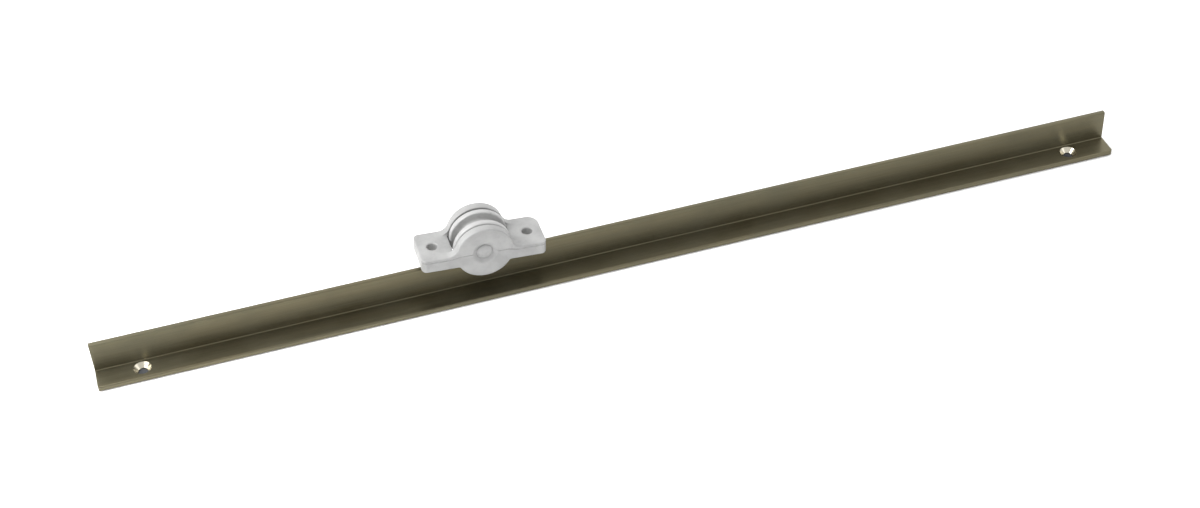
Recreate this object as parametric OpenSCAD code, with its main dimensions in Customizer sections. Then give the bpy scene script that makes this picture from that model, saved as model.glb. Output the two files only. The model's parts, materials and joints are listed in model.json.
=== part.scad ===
// Sliding door sheave roller on a screwed-down angle track.
// +X runs along the track, +Y points to its back, +Z is up.
// The origin is at mid length, on the underside, in the middle plane of the upright leg.

/* [Track] */
// Length of the angle track
track_len = 457.2; // [300:0.1:900]
// Height of the upright leg, whose top edge is the rail
upright_h = 16.3; // [14:0.1:20]
// Width of the flat leg that is screwed down
flat_w = 13.0; // [12:0.1:18]
// Thickness of both legs
leg_t = 2.4; // [2:0.1:2.5]
// Rounding of the free edges and of the outer corner
edge_r = 0.7; // [0.2:0.05:0.8]
// Fillet inside the corner
corner_r = 0.4; // [0.3:0.1:2]
// Rounding of the flat leg's two end corners, seen from above
end_r = 1.2; // [0.3:0.1:2]

/* [Track screw holes] */
// Distance of each hole from its end of the track
hole_inset = 19.05; // [12:0.05:40]
// Distance of the holes from the front edge of the flat leg
hole_setback = 5.9; // [5.5:0.1:6.2]
// Diameter of the through holes
screw_d = 4.0; // [3:0.1:4.5]
// Diameter of the countersinks at the surface
sink_d = 7.4; // [6.5:0.1:9]

/* [Roller position] */
// Distance of the wheel's centre from the middle of the track
roller_x = -62.2; // [-216:0.1:216]
// Tilt of the loose housing about its axle, right end down
tilt = 4.3; // [-5:0.1:5]
// Sideways place of the housing and its axle, from the middle of the upright leg
housing_y = 0.1; // [0:0.05:0.2]
// Sideways place of the wheel and its bearing, from the middle of the upright leg
wheel_y = -0.1; // [-0.2:0.05:0]

/* [Wheel] */
// Outer radius of the wheel
wheel_r = 12.4; // [12:0.1:12.5]
// Width of the wheel
wheel_w = 10.2; // [9:0.1:10.4]
// Radius at the bottom of the groove
groove_r = 8.3; // [8.3:0.1:9]
// Width of the groove, before its eased lips
groove_w = 4.8; // [4.2:0.1:5.2]
// Rounding at the bottom of the groove
groove_round = 1.5; // [0.5:0.1:1.5]
// Play between the groove and the top of the track
rail_play = 0.05; // [0.02:0.01:0.1]

/* [Housing] */
// Length of the mounting plate
plate_l = 54.0; // [50:0.1:56]
// Width of the mounting plate
plate_w = 19.2; // [18.6:0.1:20]
// Thickness of the mounting plate
plate_t = 6.1; // [5:0.1:6.1]
// Height of the plate's top face above the centre of the axle
plate_rise = 0.3; // [0.1:0.1:0.5]
// Radius of the plate's back right corner, seen from above
big_corner_r = 5.2; // [1:0.1:5.5]
// Radius of the plate's other three corners
plate_r = 2.6; // [1:0.1:5]
// Rounding of the plate's upper and lower edges
soft_r = 0.4; // [0.3:0.1:1]
// Radius of the two round cheeks beside the wheel
cheek_r = 12.3; // [11.5:0.1:12.4]
// Thickness of each cheek
cheek_t = 3.8; // [3:0.1:3.8]
// Length of the slot that the wheel passes through
slot_l = 25.5; // [25.5:0.1:28]
// Flare where a cheek's rim runs into the top of the plate
flare_r = 5.0; // [1:0.1:5]
// Flare where a cheek's rim runs into the underside of the plate
under_r = 1.0; // [0.5:0.1:1.5]

/* [Housing screw holes] */
// Distance between the two screw holes
plate_pitch = 41.2; // [40:0.1:42]
// Diameter of the through holes
plate_hole_d = 4.3; // [3.5:0.1:4.6]
// Diameter of the countersinks in the underside
plate_sink_d = 8.0; // [7:0.1:9]
// Width of the eased rim at the top of each hole
rim_w = 0.4; // [0.2:0.1:0.8]

/* [Axle] */
// Diameter of the axle
axle_d = 5.0; // [4:0.1:5]
// Radial play of the housing on the axle
axle_play = 0.05; // [0.02:0.01:0.1]
// Diameter of the formed heads
head_d = 7.0; // [6:0.1:7]
// Diameter of the dished seats around the heads
dish_d = 10.6; // [9.5:0.1:11]
// Depth of the dished seats
dish_t = 1.1; // [0.8:0.1:1.5]

/* [Ball bearing] */
// Outer diameter of the bearing
bearing_d = 11.0; // [11:0.1:11.4]
// Width of the bearing
bearing_w = 5.0; // [4:0.1:5]
// Number of balls
ball_count = 8; // [6:1:9]
// Diameter of each ball
ball_d = 1.588; // [1.5:0.001:1.6]

/* [Hidden] */
$fn = 96;

eps = 0.01;                                // overrun of a cut past a face
press = 0.005;                             // gap left where a ring is pressed home
back_y = leg_t / 2;                        // back face of the upright leg
front_y = back_y - flat_w;                 // front edge of the flat leg
hole_x = track_len / 2 - hole_inset;
hole_y = front_y + hole_setback;
sink_angle = 41;                           // half angle of a flat screw head
sink_t = (sink_d - screw_d) / 2 / tan(sink_angle);
axle_z = upright_h + groove_r + rail_play; // height of the axle above the base

plate_top = plate_rise;
plate_low = plate_top - plate_t;
cheek_out = plate_w / 2;                   // outer face of a cheek
cheek_in = cheek_out - cheek_t;            // inner face of a cheek
slot_r = 1.2;                              // corners of the slot
plate_sink_t = (plate_sink_d - plate_hole_d) / 2 / tan(sink_angle);
dish_in_r = head_d / 2 + 0.15;             // floor of a dished seat
dish_floor = cheek_out - dish_t;

head_gap = 0.15;                           // play under a head
head_low = dish_floor + head_gap;
head_top = cheek_out - 0.1;
head_round = 0.3;                          // rounded rim of a head

pitch_r = (axle_d + bearing_d) / 4;        // centre circle of the balls
race_r = ball_d / 2 + 0.046;               // radius of the race grooves
land = 0.3;                                // height of a ring's shoulder beside its groove
inner_land_r = pitch_r - ball_d / 2 + land;
outer_land_r = pitch_r + ball_d / 2 - land;
shield_t = 0.2;
shield_in = bearing_w / 2 - 0.35;          // inner face of a shield
shield_seat_r = outer_land_r + 0.5;
shield_r = inner_land_r + 0.15;
cage_in_r = pitch_r - 0.3;
cage_out_r = pitch_r + 0.3;
cage_w = 1.15;
cage_gap = 0.02;
pocket_r = ball_d / 2 + 0.05;
stop_r = bearing_d / 2 - 0.6;              // shoulder that the bearing is pressed against
spacer_r = 3.4;
spacer_play = 0.15;                        // play between a spacer and its cheek

bronze = [0.36, 0.30, 0.20];
cast_grey = [0.72, 0.72, 0.71];
turned_grey = [0.66, 0.66, 0.65];
steel = [0.60, 0.61, 0.63];
bright = [0.80, 0.81, 0.83];
cage_brass = [0.72, 0.58, 0.30];

// ---- placing ----

module at_axle() { translate([roller_x, housing_y, axle_z]) children(); }

module at_wheel() { translate([roller_x, wheel_y, axle_z]) children(); }

module tipped() { at_axle() rotate([0, tilt, 0]) children(); }

// Turns a profile drawn as (radius, depth) about the axle; depth runs towards +Y
module turned() { rotate([-90, 0, 0]) rotate_extrude() children(); }

// Round bar along Y between two depths
module bar_y(r, y0, y1) {
    translate([0, y0, 0]) rotate([-90, 0, 0]) cylinder(r = r, h = y1 - y0);
}

// Extrudes an outline drawn as (x, z) from depth y0 to depth y1
module sheet_y(y0, y1) {
    translate([0, y1, 0]) rotate([90, 0, 0]) linear_extrude(height = y1 - y0) children();
}

// Extrudes an outline drawn as (y, z) along X, centred
module along_x(l) {
    translate([-l / 2, 0, 0]) rotate([90, 0, 90]) linear_extrude(height = l) children();
}

// Rectangle between two corners with all four corners rounded
module soft_rect(x0, y0, x1, y1, r) {
    translate([x0 + r, y0]) square([x1 - x0 - 2 * r, y1 - y0]);
    translate([x0, y0 + r]) square([x1 - x0, y1 - y0 - 2 * r]);
    for (x = [x0 + r, x1 - r]) for (y = [y0 + r, y1 - r]) translate([x, y]) circle(r = r);
}

// Rectangle between two corners, its rounding given corner by corner from the first one
module corner_rect(x0, y0, x1, y1, a, b, c, d) {
    polygon([[x0 + a, y0], [x1 - b, y0], [x1, y0 + b], [x1, y1 - c],
             [x1 - c, y1], [x0 + d, y1], [x0, y1 - d], [x0, y0 + a]]);
    translate([x0 + a, y0 + a]) circle(r = a);
    translate([x1 - b, y0 + b]) circle(r = b);
    translate([x1 - c, y1 - c]) circle(r = c);
    translate([x0 + d, y1 - d]) circle(r = d);
}

// ---- track ----

module angle_profile() {
    soft_rect(-back_y, 0, back_y, upright_h, edge_r);
    soft_rect(front_y, 0, back_y, leg_t, edge_r);
    difference() {
        translate([-back_y - corner_r, leg_t - eps]) square([corner_r + eps, corner_r + eps]);
        translate([-back_y - corner_r, leg_t + corner_r]) circle(r = corner_r);
    }
}

// Material outside the rounded end corner of the flat leg, mirrored for the left end
module end_corner(side) {
    scale_x = side > 0 ? 0 : 1;
    mirror([scale_x, 0, 0]) translate([track_len / 2 - end_r, front_y + end_r, -1])
        difference() {
            translate([0, -end_r - 1, 0]) cube([end_r + 1, end_r + 1, leg_t + 2]);
            cylinder(r = end_r, h = leg_t + 2);
        }
}

module track_hole(x) {
    translate([x, hole_y, -1]) cylinder(d = screw_d, h = leg_t + 2);
    translate([x, hole_y, leg_t - sink_t]) cylinder(d1 = screw_d, d2 = sink_d, h = sink_t);
    translate([x, hole_y, leg_t - eps]) cylinder(d = sink_d, h = 1);
}

module track_angle() {
    color(bronze) difference() {
        along_x(track_len) angle_profile();
        for (x = [-hole_x, hole_x]) track_hole(x);
        for (side = [-1, 1]) end_corner(side);
    }
}

// ---- housing ----

// Filling between a cheek's rim and a level face of the plate
module flare(r, face, up) {
    reach = cheek_r + r;
    cz = face + up * r;
    cx = sqrt(reach * reach - cz * cz);
    x0 = 0.6 * cx;
    x1 = cx - 0.15;
    z1 = cz - up * 0.3;
    root = face - up * 2.5;
    difference() {
        polygon([[x0, z1 * x0 / x1], [x1, z1], [x1, root], [x0, root]]);
        translate([cx, cz]) circle(r = r);
    }
}

module plate_body() {
    intersection() {
        translate([0, 0, plate_low]) linear_extrude(height = plate_t)
            corner_rect(-plate_l / 2, -plate_w / 2, plate_l / 2, plate_w / 2,
                        plate_r, plate_r, big_corner_r, plate_r);
        along_x(plate_l + 2)
            soft_rect(-plate_w / 2, plate_low, plate_w / 2, plate_top, soft_r);
        sheet_y(-plate_w, plate_w)
            soft_rect(-plate_l / 2, plate_low, plate_l / 2, plate_top, soft_r);
    }
}

// Round cheek between two depths, its outer rim rounded
module cheek_disc(side) {
    mirror([0, side > 0 ? 0 : 1, 0]) turned() difference() {
        soft_rect(-cheek_r, cheek_in - 2 * soft_r, cheek_r, cheek_out, soft_r);
        translate([-cheek_r - 1, cheek_in - 2 * soft_r - 1]) square([cheek_r + 1, cheek_t + 4]);
        translate([-1, cheek_in - 2 * soft_r - 1]) square([cheek_r + 3, 2 * soft_r + 1]);
    }
}

module cheek_flares(side) {
    y0 = side > 0 ? cheek_in : -cheek_out + soft_r / 2;
    y1 = side > 0 ? cheek_out - soft_r / 2 : -cheek_in;
    for (m = [0, 1]) mirror([m, 0, 0]) {
        sheet_y(y0, y1) flare(flare_r, plate_top, 1);
        sheet_y(y0, y1) flare(under_r, plate_low, -1);
    }
}

module dished_seat(side) {
    mirror([0, side > 0 ? 0 : 1, 0]) translate([0, dish_floor, 0]) rotate([-90, 0, 0]) {
        cylinder(r1 = dish_in_r, r2 = dish_d / 2, h = dish_t);
        translate([0, 0, dish_t - eps]) cylinder(r = dish_d / 2, h = 1);
    }
}

module plate_hole(x) {
    translate([x, 0, plate_low - 1]) cylinder(d = plate_hole_d, h = plate_t + 2);
    translate([x, 0, plate_low]) cylinder(d1 = plate_sink_d, d2 = plate_hole_d, h = plate_sink_t);
    translate([x, 0, plate_low - 1]) cylinder(d = plate_sink_d, h = 1 + eps);
    translate([x, 0, plate_top - rim_w])
        cylinder(d1 = plate_hole_d, d2 = plate_hole_d + 2 * rim_w, h = rim_w);
    translate([x, 0, plate_top - eps]) cylinder(d = plate_hole_d + 2 * rim_w, h = 1);
}

module housing() {
    color(cast_grey) tipped() difference() {
        union() {
            plate_body();
            for (side = [-1, 1]) cheek_disc(side);
            for (side = [-1, 1]) cheek_flares(side);
        }
        translate([0, 0, plate_low - 8]) linear_extrude(height = plate_t + 16)
            soft_rect(-slot_l / 2, -cheek_in, slot_l / 2, cheek_in, slot_r);
        bar_y(axle_d / 2 + axle_play, -plate_w, plate_w);
        for (side = [-1, 1]) dished_seat(side);
        for (x = [-plate_pitch / 2, plate_pitch / 2]) plate_hole(x);
    }
}

// ---- axle, spacers and wheel ----

// Flat head with a rounded rim at one end of the axle, as (radius, depth)
module head_profile() {
    intersection() {
        soft_rect(-head_d / 2, head_low - 2, head_d / 2, head_top, head_round);
        translate([0, head_low]) square([head_d, 3]);
    }
}

module axle_pin() {
    color(bright) at_axle() {
        turned() translate([0, -head_low - eps]) square([axle_d / 2, 2 * head_low + 2 * eps]);
        for (m = [0, 1]) mirror([0, m, 0]) turned() head_profile();
    }
}

// Tube from the bearing to the cheek on one side
module spacer(side) {
    near = bearing_w / 2 + press;
    far = cheek_in + side * (housing_y - wheel_y) - spacer_play;
    mirror([0, side > 0 ? 0 : 1, 0]) turned() translate([axle_d / 2 + press, near])
        square([spacer_r - axle_d / 2 - press, far - near]);
}

module spacer_front() { color(steel) at_wheel() spacer(-1); }

module spacer_rear() { color(steel) at_wheel() spacer(1); }

// Groove for the rail with a rounded bottom and eased lips, as (radius, depth)
module groove_cut() {
    lip = 0.4;
    lip_r = wheel_r - lip;
    soft_rect(groove_r, -groove_w / 2, wheel_r + 3, groove_w / 2, groove_round);
    polygon([[lip_r, -groove_w / 2], [lip_r, groove_w / 2], [wheel_r + 1, groove_w / 2 + lip + 1],
             [wheel_r + 1, -groove_w / 2 - lip - 1]]);
}

module wheel() {
    rim_round = 0.6;
    color(turned_grey) at_wheel() turned() difference() {
        soft_rect(-wheel_r, -wheel_w / 2, wheel_r, wheel_w / 2, rim_round);
        translate([-wheel_r - 1, -wheel_w]) square([wheel_r + 1 + stop_r, 2 * wheel_w]);
        translate([0, -wheel_w]) square([bearing_d / 2 + press, wheel_w + bearing_w / 2 + press]);
        groove_cut();
    }
}

// ---- ball bearing ----

module bearing_outer_ring() {
    color(steel) at_wheel() turned() difference() {
        translate([outer_land_r, -bearing_w / 2])
            square([bearing_d / 2 - outer_land_r, bearing_w]);
        translate([pitch_r, 0]) circle(r = race_r);
        for (s = [-1, 1]) translate([0, s * bearing_w])
            square([2 * shield_seat_r, 2 * (bearing_w - shield_in)], center = true);
    }
}

module bearing_inner_ring() {
    color(steel) at_wheel() turned() difference() {
        translate([axle_d / 2 + press, -bearing_w / 2])
            square([inner_land_r - axle_d / 2 - press, bearing_w]);
        translate([pitch_r, 0]) circle(r = race_r);
    }
}

module shield(side) {
    mirror([0, side > 0 ? 0 : 1, 0]) turned() translate([shield_r, shield_in + press])
        square([shield_seat_r - press - shield_r, shield_t]);
}

module bearing_shield_front() { color(bright) at_wheel() shield(-1); }

module bearing_shield_rear() { color(bright) at_wheel() shield(1); }

// Moves its child to the centre of ball i
module at_ball(i) {
    angle = 360 * (i + 0.5) / ball_count;
    translate([pitch_r * cos(angle), 0, pitch_r * sin(angle)]) children();
}

// Half of the cage: a flat ring with a pocket for every ball
module cage_half(side) {
    difference() {
        mirror([0, side > 0 ? 0 : 1, 0]) turned()
            translate([cage_in_r, cage_gap]) square([cage_out_r - cage_in_r, cage_w - cage_gap]);
        for (i = [0 : ball_count - 1]) at_ball(i) sphere(r = pocket_r);
    }
}

module bearing_cage_front() { color(cage_brass) at_wheel() cage_half(-1); }

module bearing_cage_rear() { color(cage_brass) at_wheel() cage_half(1); }

module ball(i) { color(bright) at_wheel() at_ball(i) sphere(d = ball_d); }

// ---- nodes ----

track_angle();
housing();
axle_pin();
wheel();
spacer_front();
spacer_rear();
bearing_outer_ring();
bearing_inner_ring();
bearing_shield_front();
bearing_shield_rear();
bearing_cage_front();
bearing_cage_rear();
for (i = [0 : ball_count - 1])
    ball(i);
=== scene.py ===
# Sliding door sheave roller on an angle track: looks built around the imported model.
import bpy
import bmesh
import json
import math
import numpy as np
from mathutils import Matrix, Vector, noise


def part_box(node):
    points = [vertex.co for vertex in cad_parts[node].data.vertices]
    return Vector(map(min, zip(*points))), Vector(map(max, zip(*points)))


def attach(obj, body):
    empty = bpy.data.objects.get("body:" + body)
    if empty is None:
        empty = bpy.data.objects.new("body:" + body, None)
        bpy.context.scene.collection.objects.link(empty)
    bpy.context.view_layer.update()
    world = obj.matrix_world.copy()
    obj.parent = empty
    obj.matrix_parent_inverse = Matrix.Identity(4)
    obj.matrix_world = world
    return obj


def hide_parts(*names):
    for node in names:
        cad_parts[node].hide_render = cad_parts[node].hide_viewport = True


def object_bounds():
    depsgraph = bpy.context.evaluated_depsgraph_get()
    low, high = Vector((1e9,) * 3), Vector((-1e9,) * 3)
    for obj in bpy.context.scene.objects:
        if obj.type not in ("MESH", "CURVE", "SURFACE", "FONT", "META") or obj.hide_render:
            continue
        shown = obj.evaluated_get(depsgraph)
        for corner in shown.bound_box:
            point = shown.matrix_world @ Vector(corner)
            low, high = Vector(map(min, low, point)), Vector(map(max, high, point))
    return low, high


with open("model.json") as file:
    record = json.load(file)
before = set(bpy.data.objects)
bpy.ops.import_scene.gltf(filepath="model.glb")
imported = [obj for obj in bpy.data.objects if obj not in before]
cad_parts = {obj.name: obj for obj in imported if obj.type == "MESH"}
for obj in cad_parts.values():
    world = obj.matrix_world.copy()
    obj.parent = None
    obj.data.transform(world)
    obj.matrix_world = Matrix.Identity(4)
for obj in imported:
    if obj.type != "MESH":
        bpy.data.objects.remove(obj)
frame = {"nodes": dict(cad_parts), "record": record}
cad_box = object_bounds()
scene = bpy.context.scene
nodes = frame["nodes"]
MM = 0.001

# ------------------------------------------------------------------ places, from the frame
low, high = (Vector(v) for v in (cad_box[0], cad_box[1]))
track_low, track_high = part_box("track_angle")
wheel_low, wheel_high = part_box("wheel")
pin_low, pin_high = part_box("axle_pin")
axle = (wheel_low + wheel_high) / 2
pin_mid = (pin_low + pin_high) / 2
mounts = {m["name"]: m for m in frame["record"]["mounts"]}
plate_up = mounts["plate_top"]["axis"]
tilt = math.atan2(plate_up[0], plate_up[2])
holes = mounts["track_screw_holes"]
hole_half = holes["dims"]["spacing_x_mm"] * MM / 2
hole_y = holes["pos_m"][1]

# not in the frame: the countersinks' radius at the top, and the parting line of the casting in mm.
# Its height above the axle goes from seam_high to seam_low between two distances along the plate.
sink_r = 3.7 * MM
seam_near, seam_far, seam_high, seam_low = 9.5, 15.0, -0.15, -1.0


# ------------------------------------------------------------------ material helpers
class Mat:
    """A small builder for one node material."""

    def __init__(self, name):
        self.m = bpy.data.materials.new(name)
        self.m.use_nodes = True
        self.t = self.m.node_tree
        self.bsdf = self.t.nodes["Principled BSDF"]
        self.coords = self.t.nodes.new("ShaderNodeTexCoord").outputs["Object"]

    def put(self, socket, value):
        if isinstance(value, bpy.types.NodeSocket):
            self.t.links.new(value, socket)
        else:
            socket.default_value = value

    def node(self, kind, inputs=None, **props):
        n = self.t.nodes.new(kind)
        for k, v in props.items():
            setattr(n, k, v)
        for k, v in (inputs or {}).items():
            self.put(n.inputs[k], v)
        return n

    def math(self, op, a, b=0.0):
        return self.node("ShaderNodeMath", {0: a, 1: b}, operation=op).outputs[0]

    def stretch(self, sx, sy, sz):
        """Coordinates multiplied along each axis."""
        factors = {0: self.coords, 1: (sx, sy, sz)}
        return self.node("ShaderNodeVectorMath", factors, operation="MULTIPLY").outputs[0]

    def noise(self, coords, scale, detail=4.0, rough=0.55):
        n = self.node("ShaderNodeTexNoise", {"Vector": coords, "Scale": scale, "Detail": detail,
                                             "Roughness": rough})
        return n.outputs["Fac"]

    def span(self, value, a, b, c, d):
        """Takes a..b smoothly to c..d, and holds beyond."""
        n = self.node("ShaderNodeMapRange", {0: value, 1: a, 2: b, 3: c, 4: d},
                      interpolation_type="SMOOTHSTEP")
        n.clamp = True
        return n.outputs[0]

    def mix(self, fac, a, b):
        n = self.node("ShaderNodeMix", data_type="RGBA")
        self.put(n.inputs["Factor"], fac)
        self.put(n.inputs["A"], a)
        self.put(n.inputs["B"], b)
        return n.outputs["Result"]

    def bump(self, height, strength, distance):
        n = self.node("ShaderNodeBump", {"Height": height, "Strength": strength, "Distance": distance})
        return n.outputs["Normal"]

    def xyz(self, coords=None):
        n = self.node("ShaderNodeSeparateXYZ", {0: coords or self.coords})
        return n.outputs[0], n.outputs[1], n.outputs[2]

    def finish(self, **inputs):
        for k, v in inputs.items():
            self.put(self.bsdf.inputs[k.replace("_", " ")], v)
        return self.m


def rgb(r, g, b):
    return (r, g, b, 1.0)


def give(obj, material):
    obj.data.materials.clear()
    obj.data.materials.append(material)


# ------------------------------------------------------------------ materials
def bronze_material():
    """Dark bronze finish on a drawn angle: fine lines along the length, bare metal in the countersinks."""
    m = Mat("antique_bronze")
    x, y, z = m.xyz()
    lines = m.noise(m.stretch(30, 9000, 9000), 1.0, 3.0, 0.6)
    broad = m.noise(m.stretch(12, 260, 260), 1.0, 3.0, 0.5)
    cloud = m.noise(m.coords, 45.0, 4.0, 0.6)
    speck = m.noise(m.coords, 2600.0, 2.0, 0.6)
    base = m.mix(m.span(lines, 0.3, 0.7, 0, 1), rgb(0.122, 0.111, 0.072), rgb(0.158, 0.145, 0.096))
    base = m.mix(m.span(broad, 0.35, 0.7, 0, 0.35), base, rgb(0.168, 0.143, 0.086))
    base = m.mix(m.span(cloud, 0.4, 0.75, 0, 0.3), base, rgb(0.112, 0.110, 0.080))
    base = m.mix(m.span(speck, 0.66, 0.78, 0, 0.35), base, rgb(0.21, 0.19, 0.14))
    # distance from the nearer hole's centre
    dx = m.math("SUBTRACT", m.math("ABSOLUTE", x), hole_half)
    dy = m.math("SUBTRACT", y, hole_y)
    r = m.math("SQRT", m.math("ADD", m.math("MULTIPLY", dx, dx), m.math("MULTIPLY", dy, dy)))
    bare = m.span(r, sink_r - 0.02 * MM, sink_r + 0.04 * MM, 1.0, 0.0)
    ring_place = m.node("ShaderNodeCombineXYZ", {0: m.math("MULTIPLY", r, 14000.0)}).outputs[0]
    rings = m.noise(ring_place, 1.0, 2.0, 0.6)
    metal = m.mix(rings, rgb(0.44, 0.41, 0.33), rgb(0.66, 0.62, 0.52))
    base = m.mix(bare, base, metal)
    rough = m.span(lines, 0.2, 0.8, 0.33, 0.44)
    rough = m.math("ADD", rough, m.span(cloud, 0.35, 0.7, -0.03, 0.05))
    rough = m.math("SUBTRACT", rough, m.math("MULTIPLY", bare, 0.22))
    height = m.math("ADD", m.math("MULTIPLY", lines, 0.6), m.math("MULTIPLY", speck, 0.4))
    height = m.math("ADD", height, m.math("MULTIPLY", m.math("MULTIPLY", rings, bare), 1.0))
    across = m.node("ShaderNodeTangent", direction_type="RADIAL", axis="X").outputs[0]
    return m.finish(Base_Color=base, Metallic=1.0, Roughness=rough, Anisotropic=0.7, Tangent=across,
                    Normal=m.bump(height, 0.35, 0.00002))


def cast_material():
    """Dull cast metal: fine grain, soft mottling and small darker flecks."""
    m = Mat("cast_satin_nickel")
    grain = m.noise(m.coords, 3800.0, 3.0, 0.6)
    pebble = m.noise(m.coords, 900.0, 3.0, 0.55)
    cloud = m.noise(m.coords, 120.0, 3.0, 0.5)
    base = m.mix(m.span(cloud, 0.3, 0.7, 0, 1), rgb(0.26, 0.26, 0.257), rgb(0.32, 0.32, 0.316))
    base = m.mix(m.span(grain, 0.60, 0.8, 0, 0.35), base, rgb(0.22, 0.22, 0.218))
    # painted shade: the parting line's crease is painted darker than the skin beside it, on the outside only
    x, y, z = m.xyz()
    dx, dz = m.math("SUBTRACT", x, axle.x), m.math("SUBTRACT", z, axle.z)
    own_x = m.math("SUBTRACT", m.math("MULTIPLY", dx, math.cos(tilt)), m.math("MULTIPLY", dz, math.sin(tilt)))
    own_z = m.math("ADD", m.math("MULTIPLY", dx, math.sin(tilt)), m.math("MULTIPLY", dz, math.cos(tilt)))
    seam_z = m.span(m.math("ABSOLUTE", own_x), seam_near * MM, seam_far * MM,
                    seam_high * MM, seam_low * MM)
    off = m.math("ABSOLUTE", m.math("SUBTRACT", own_z, seam_z))
    rim = m.math("ABSOLUTE", m.math("SUBTRACT", y, pin_mid.y))
    face = (pin_high.y - pin_low.y) / 2
    outside = m.math("MAXIMUM", m.span(rim, face - 0.25 * MM, face - 0.10 * MM, 0, 1),
                     m.span(m.math("ABSOLUTE", own_x), 24.5 * MM, 25.0 * MM, 0, 1))
    broken = m.span(m.noise(m.coords, 420.0, 2.0, 0.5), 0.38, 0.62, 0.25, 1.0)
    line = m.span(off, 0.06 * MM, 0.26 * MM, 0.75, 0.0)
    painted_seam_shade = m.math("MULTIPLY", m.math("MULTIPLY", line, outside), broken)
    base = m.mix(painted_seam_shade, base, rgb(0.12, 0.12, 0.118))
    rough = m.span(pebble, 0.3, 0.7, 0.42, 0.56)
    height = m.math("ADD", m.math("MULTIPLY", grain, 0.35), m.math("MULTIPLY", pebble, 0.65))
    return m.finish(Base_Color=base, Metallic=0.25, Roughness=rough, Normal=m.bump(height, 0.35, 0.00006))


def turned_material(name, centre, low_rgb, high_rgb, rough_lo, rough_hi, strength, metallic=1.0):
    """Metal turned about the axle: fine rings around it."""
    m = Mat(name)
    n = m.node("ShaderNodeVectorMath", {0: m.coords, 1: tuple(centre)}, operation="SUBTRACT")
    x, y, z = m.xyz(n.outputs[0])
    r = m.math("SQRT", m.math("ADD", m.math("MULTIPLY", x, x), m.math("MULTIPLY", z, z)))
    across = m.math("ADD", m.math("MULTIPLY", r, 6500.0), m.math("MULTIPLY", y, 9100.0))
    rings = m.noise(m.node("ShaderNodeCombineXYZ", {0: across}).outputs[0], 1.0, 3.0, 0.6)
    cloud = m.noise(m.coords, 260.0, 4.0, 0.6)
    scuff = m.noise(m.coords, 1500.0, 3.0, 0.6)
    base = m.mix(m.span(rings, 0.3, 0.7, 0, 1), rgb(*low_rgb), rgb(*high_rgb))
    dark = tuple(c * 0.72 for c in low_rgb)
    base = m.mix(m.span(cloud, 0.5, 0.75, 0, 0.45), base, rgb(*dark))
    rough = m.math("ADD", m.span(rings, 0.3, 0.7, rough_lo, rough_hi), m.span(cloud, 0.4, 0.7, -0.03, 0.06))
    height = m.math("ADD", m.math("MULTIPLY", rings, 0.7), m.math("MULTIPLY", scuff, 0.3))
    return m.finish(Base_Color=base, Metallic=metallic, Roughness=rough,
                    Normal=m.bump(height, strength, 0.00003))


def brass_material():
    """Pressed brass of the ball cage."""
    m = Mat("cage_brass")
    cloud = m.noise(m.coords, 900.0, 4.0, 0.6)
    grain = m.noise(m.coords, 6000.0, 2.0, 0.6)
    base = m.mix(m.span(cloud, 0.3, 0.7, 0, 1), rgb(0.55, 0.38, 0.14), rgb(0.74, 0.56, 0.26))
    rough = m.span(cloud, 0.3, 0.7, 0.28, 0.42)
    return m.finish(Base_Color=base, Metallic=1.0, Roughness=rough, Normal=m.bump(grain, 0.2, 0.00002))


bronze = bronze_material()
cast = cast_material()
turned = turned_material("turned_satin_nickel", axle, (0.32, 0.32, 0.317), (0.39, 0.39, 0.385), 0.42, 0.54,
                         0.25, 0.2)
pin_steel = turned_material("pin_steel", axle, (0.27, 0.27, 0.267), (0.33, 0.33, 0.326), 0.40, 0.52,
                            0.25, 0.35)
ring_steel = turned_material("ring_steel", axle, (0.56, 0.57, 0.58), (0.66, 0.67, 0.68), 0.12, 0.22, 0.15)
ball_steel = turned_material("ball_steel", axle, (0.68, 0.69, 0.70), (0.74, 0.75, 0.76), 0.06, 0.12, 0.08)
brass = brass_material()

give(nodes["track_angle"], bronze)
for n in ("spacer_front", "spacer_rear"):
    give(nodes[n], pin_steel)
for n in ("bearing_outer_ring", "bearing_inner_ring", "bearing_shield_front", "bearing_shield_rear"):
    give(nodes[n], ring_steel)
for n in ("bearing_cage_front", "bearing_cage_rear"):
    give(nodes[n], brass)
for n in nodes:
    if n.startswith("ball_"):
        give(nodes[n], ball_steel)


# ------------------------------------------------------------------ pieces shown in place of CAD ones
def mesh_piece(name, verts, faces, material, body, stands_for, material_slot):
    me = bpy.data.meshes.new(name)
    me.from_pydata(verts, [], faces)
    me.validate()
    me.polygons.foreach_set("use_smooth", [True] * len(me.polygons))
    o = bpy.data.objects.new(name, me)
    scene.collection.objects.link(o)
    give(o, material)
    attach(o, body)
    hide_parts(stands_for)


def rounded(points, radii, steps=6):
    """A closed outline with each corner rounded by its own radius."""
    out = []
    for i, (corner, radius) in enumerate(zip(points, radii)):
        c = Vector(corner)
        a = (Vector(points[i - 1]) - c).normalized()
        b = (Vector(points[(i + 1) % len(points)]) - c).normalized()
        if radius <= 0:
            out.append(c)
            continue
        half = a.angle(b) / 2
        start, end = c + a * radius / math.tan(half), c + b * radius / math.tan(half)
        middle = c + (a + b).normalized() * radius / math.sin(half)
        for k in range(steps + 1):
            p = start.lerp(end, k / steps) - middle
            out.append(middle + p.normalized() * radius)
    return out


def lathe(outline, centre, segments=160):
    """Revolves an outline of (radius, depth) points in mm about the axle's line."""
    verts, faces, n = [], [], len(outline)
    for s in range(segments):
        a = 2 * math.pi * s / segments
        for r, d in outline:
            verts.append(tuple(centre + Vector((r * math.cos(a), d, r * math.sin(a))) * MM))
    for s in range(segments):
        t = (s + 1) % segments
        for i in range(n):
            j = (i + 1) % n
            faces.append((s * n + i, s * n + j, t * n + j, t * n + i))
    return verts, faces


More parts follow.
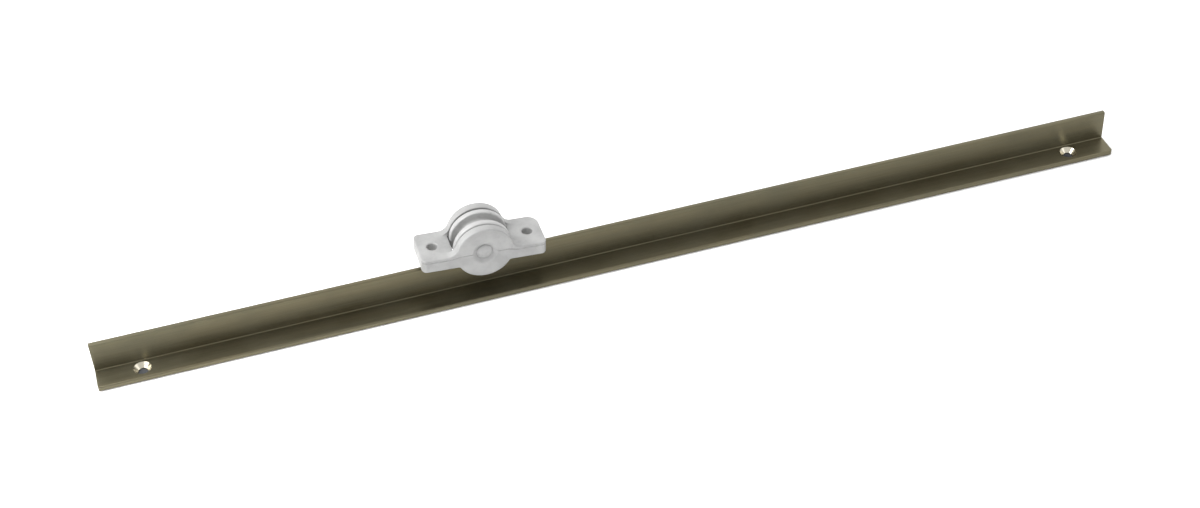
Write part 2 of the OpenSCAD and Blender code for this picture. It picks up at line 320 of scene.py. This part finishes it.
def smooth_step(a, b, x):
    t = np.clip((x - a) / (b - a), 0, 1)
    return t * t * (3 - 2 * t)


def cast_housing():
    """The housing as cast: edges softened, the mould's parting line and a slightly uneven skin."""
    source = nodes["housing"]
    own = Matrix.Translation(pin_mid) @ Matrix.Rotation(tilt, 4, "Y")
    me = source.data.copy()
    me.transform(own.inverted() @ source.matrix_world)
    o = bpy.data.objects.new("housing_cast", me)
    scene.collection.objects.link(o)
    remesh = o.modifiers.new("skin", "REMESH")
    remesh.mode = "VOXEL"
    remesh.voxel_size = 0.22 * MM
    dg = bpy.context.evaluated_depsgraph_get()
    skin = bpy.data.meshes.new_from_object(o.evaluated_get(dg))
    count = len(skin.vertices)
    co = np.empty(count * 3)
    skin.vertices.foreach_get("co", co)
    co = co.reshape(-1, 3)
    ends = np.empty(len(skin.edges) * 2, dtype=np.int32)
    skin.edges.foreach_get("vertices", ends)
    ends = ends.reshape(-1, 2)
    links = np.bincount(ends.ravel(), minlength=count)[:, None]
    # the bore keeps its size, everything else is softened
    loose = smooth_step(2.8 * MM, 3.3 * MM, np.hypot(co[:, 0], co[:, 2]))[:, None]
    for _ in range(6):
        total = np.zeros_like(co)
        for k in range(3):
            total[:, k] = (np.bincount(ends[:, 0], co[ends[:, 1], k], count)
                           + np.bincount(ends[:, 1], co[ends[:, 0], k], count))
        co += 0.5 * loose * (total / links - co)
    skin.vertices.foreach_set("co", co.ravel())
    skin.update()
    up = np.empty(count * 3)
    skin.vertices.foreach_get("normal", up)
    up = up.reshape(-1, 3)
    x, z = co[:, 0] / MM, co[:, 2] / MM
    # the parting line runs round the outside, dipping from the cheeks to the plate's ends
    height = seam_high + (seam_low - seam_high) * smooth_step(seam_near, seam_far, np.abs(x))
    face = (pin_high.y - pin_low.y) / 2
    outside = np.maximum(smooth_step(0.55, 0.85, np.abs(up[:, 1])) * (np.abs(co[:, 1]) > face - 0.3 * MM),
                         smooth_step(0.55, 0.85, np.abs(up[:, 0])) * (np.abs(x) > 22.0))
    seam = outside * np.exp(-((z - height) / 0.20) ** 2)
    uneven = np.array([0.030 * (noise.noise(Vector(c) * 330.0) - 1)
                       + 0.010 * (noise.noise(Vector(c) * 1300.0) - 1) for c in co.tolist()])
    co += up * ((uneven - 0.20 * seam) * MM)[:, None] * loose
    skin.vertices.foreach_set("co", co.ravel())
    skin.transform(own)
    o.modifiers.clear()
    o.data = skin
    skin.polygons.foreach_set("use_smooth", [True] * len(skin.polygons))
    thin = o.modifiers.new("thin", "DECIMATE")
    thin.ratio = 0.5
    give(o, cast)
    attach(o, "housing")
    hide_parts("housing")


wheel_r, wheel_half = (wheel_high.x - wheel_low.x) / 2 / MM, (wheel_high.y - wheel_low.y) / 2 / MM
seat_r, stop_r, groove_r, bearing_half = 5.505, 4.9, 8.3, 2.505
groove_half, groove_round, rim_round, groove_lip, bore_edge = 2.4, 1.5, 0.8, 0.6, 0.15
outline = rounded([(seat_r, -wheel_half), (wheel_r, -wheel_half), (wheel_r, -groove_half),
                   (groove_r, -groove_half), (groove_r, groove_half), (wheel_r, groove_half),
                   (wheel_r, wheel_half), (stop_r, wheel_half), (stop_r, bearing_half),
                   (seat_r, bearing_half)],
                  [bore_edge, rim_round, groove_lip, groove_round, groove_round, groove_lip,
                   rim_round, bore_edge, 0, 0])
mesh_piece("wheel_turned", *lathe(outline, axle), turned, "wheel", "wheel", "turned_nickel")

pin_half, head_r, shank_r = (pin_high.y - pin_low.y) / 2 / MM, (pin_high.x - pin_low.x) / 2 / MM, 2.5
head_t, rim_t, dome_steps = 0.95, 0.05, 24
head_low, rise = pin_half - head_t, head_t - rim_t
dome = [(head_r * (1 - k / dome_steps), pin_half - rise * (1 - k / dome_steps) ** 2.4)
        for k in range(dome_steps)]
rim = [(shank_r, head_low), (head_r - 0.08, head_low), (head_r - 0.02, head_low + 0.015)]
side = rim + dome + [(0.02, pin_half)]
outline = [Vector(p) for p in side] + [Vector((r, -d)) for r, d in reversed(side)]
mesh_piece("axle_riveted", *lathe(outline, pin_mid, 96), pin_steel, "carriage", "axle_pin", "pin_steel")
cast_housing()


# ------------------------------------------------------------------ stage, light, camera
def stage_plane(name, size, z, material):
    me = bpy.data.meshes.new(name)
    bm = bmesh.new()
    bmesh.ops.create_grid(bm, x_segments=4, y_segments=4, size=size)
    bmesh.ops.translate(bm, vec=(0, 0, z), verts=bm.verts)
    bm.to_mesh(me)
    bm.free()
    o = bpy.data.objects.new(name, me)
    scene.collection.objects.link(o)
    give(o, material)


def floor_material():
    m = Mat("studio_white")
    shade = m.noise(m.coords, 3.0, 2.0, 0.5)
    base = m.mix(m.span(shade, 0.3, 0.7, 0, 1), rgb(0.93, 0.93, 0.93), rgb(0.95, 0.95, 0.95))
    return m.finish(Base_Color=base, Roughness=0.9)


# painted shade: a dark sheet that stands in for the shade under the track
def shade_sheet_material():
    m = Mat("painted_shade_sheet")
    sheet_noise = m.noise(m.coords, 1500.0, 3.0, 0.6)
    base = m.mix(sheet_noise, rgb(0.035, 0.037, 0.042), rgb(0.06, 0.063, 0.07))
    return m.finish(Base_Color=base, Roughness=0.95, Normal=m.bump(sheet_noise, 0.4, 0.0002))


def strip(name, x0, x1, y0, y1, z, material):
    """A level rectangle at height z."""
    me = bpy.data.meshes.new(name)
    bm = bmesh.new()
    bm.faces.new([bm.verts.new(p) for p in ((x0, y0, z), (x1, y0, z), (x1, y1, z), (x0, y1, z))])
    bm.to_mesh(me)
    bm.free()
    o = bpy.data.objects.new(name, me)
    scene.collection.objects.link(o)
    give(o, material)


# painted shade: a dark sheet hidden under the track stands in for the shade beneath it, and the track's two
# screw holes look dark from above because of it
floor_drop, shade_sheet_drop, shade_sheet_end, shade_sheet_side = 0.25 * MM, 0.10 * MM, 4 * MM, 2 * MM
stage_plane("floor", 6.0, low.z - floor_drop, floor_material())
strip("painted_shade_under_track", low.x + shade_sheet_end, high.x - shade_sheet_end, track_low.y + shade_sheet_side,
      track_high.y - shade_sheet_side, low.z - shade_sheet_drop, shade_sheet_material())

# a plain studio: brightest behind the track, fading towards the side where the camera stands
world = bpy.data.worlds.new("studio")
scene.world = world
world.use_nodes = True
wt = world.node_tree
sky = wt.nodes.new("ShaderNodeTexCoord").outputs["Generated"]
parts = wt.nodes.new("ShaderNodeSeparateXYZ")
wt.links.new(sky, parts.inputs[0])
fade = wt.nodes.new("ShaderNodeMapRange")
for i, v in ((1, -0.20), (2, 0.80), (3, 1.00), (4, 1.75)):
    fade.inputs[i].default_value = v
wt.links.new(parts.outputs[1], fade.inputs[0])
wt.links.new(fade.outputs[0], wt.nodes["Background"].inputs[0])
wt.nodes["Background"].inputs[1].default_value = 1.0


def area(name, spot, aim, size_x, size_y, watts):
    """A rectangular soft light at spot, turned to aim."""
    data = bpy.data.lights.new(name, "AREA")
    data.shape = "RECTANGLE"
    data.size = size_x
    data.size_y = size_y
    data.energy = watts
    o = bpy.data.objects.new(name, data)
    o.location = spot
    o.rotation_euler = (Vector(aim) - Vector(spot)).to_track_quat("-Z", "Y").to_euler()
    scene.collection.objects.link(o)


area("key_left", (-0.42, 0.02, 0.42), (-0.22, -0.01, 0.0), 0.22, 0.30, 2.2)
area("side_left", (-0.80, -0.20, 0.50), (-0.15, -0.10, 0.0), 0.6, 0.6, 4.0)
area("fill_right", (0.85, -0.25, 0.60), (0.15, -0.10, 0.0), 0.7, 0.7, 1.5)

# The camera looks down on the track from its front left, with a slight roll
yaw, pitch, roll = math.radians(14.79), math.radians(40.80), math.radians(3.29)
ca, sa, cb, sb, cc, sc = (math.cos(yaw), math.sin(yaw), math.cos(pitch), math.sin(pitch),
                          math.cos(roll), math.sin(roll))
turn = (Matrix(((cc, 0, -sc), (0, 1, 0), (sc, 0, cc))) @ Matrix(((1, 0, 0), (0, cb, -sb), (0, sb, cb)))
        @ Matrix(((ca, -sa, 0), (sa, ca, 0), (0, 0, 1))))
right, ahead, up = turn[0], turn[1], turn[2]
front_low = Vector(((track_low.x + track_high.x) / 2, track_low.y, track_low.z))
span = track_high.x - track_low.x
eye = front_low - turn.transposed() @ (Vector((0.02898, 1.93301, -0.01272)) * span)
cam_data = bpy.data.cameras.new("camera")
cam_data.sensor_width = 36.0
cam_data.lens = 61.5
cam_data.clip_start = 0.01
cam = bpy.data.objects.new("camera", cam_data)
cam.matrix_world = Matrix.Translation(eye) @ Matrix((right, up, -ahead)).transposed().to_4x4()
scene.collection.objects.link(cam)
scene.camera = cam

scene.view_settings.view_transform = "Standard"
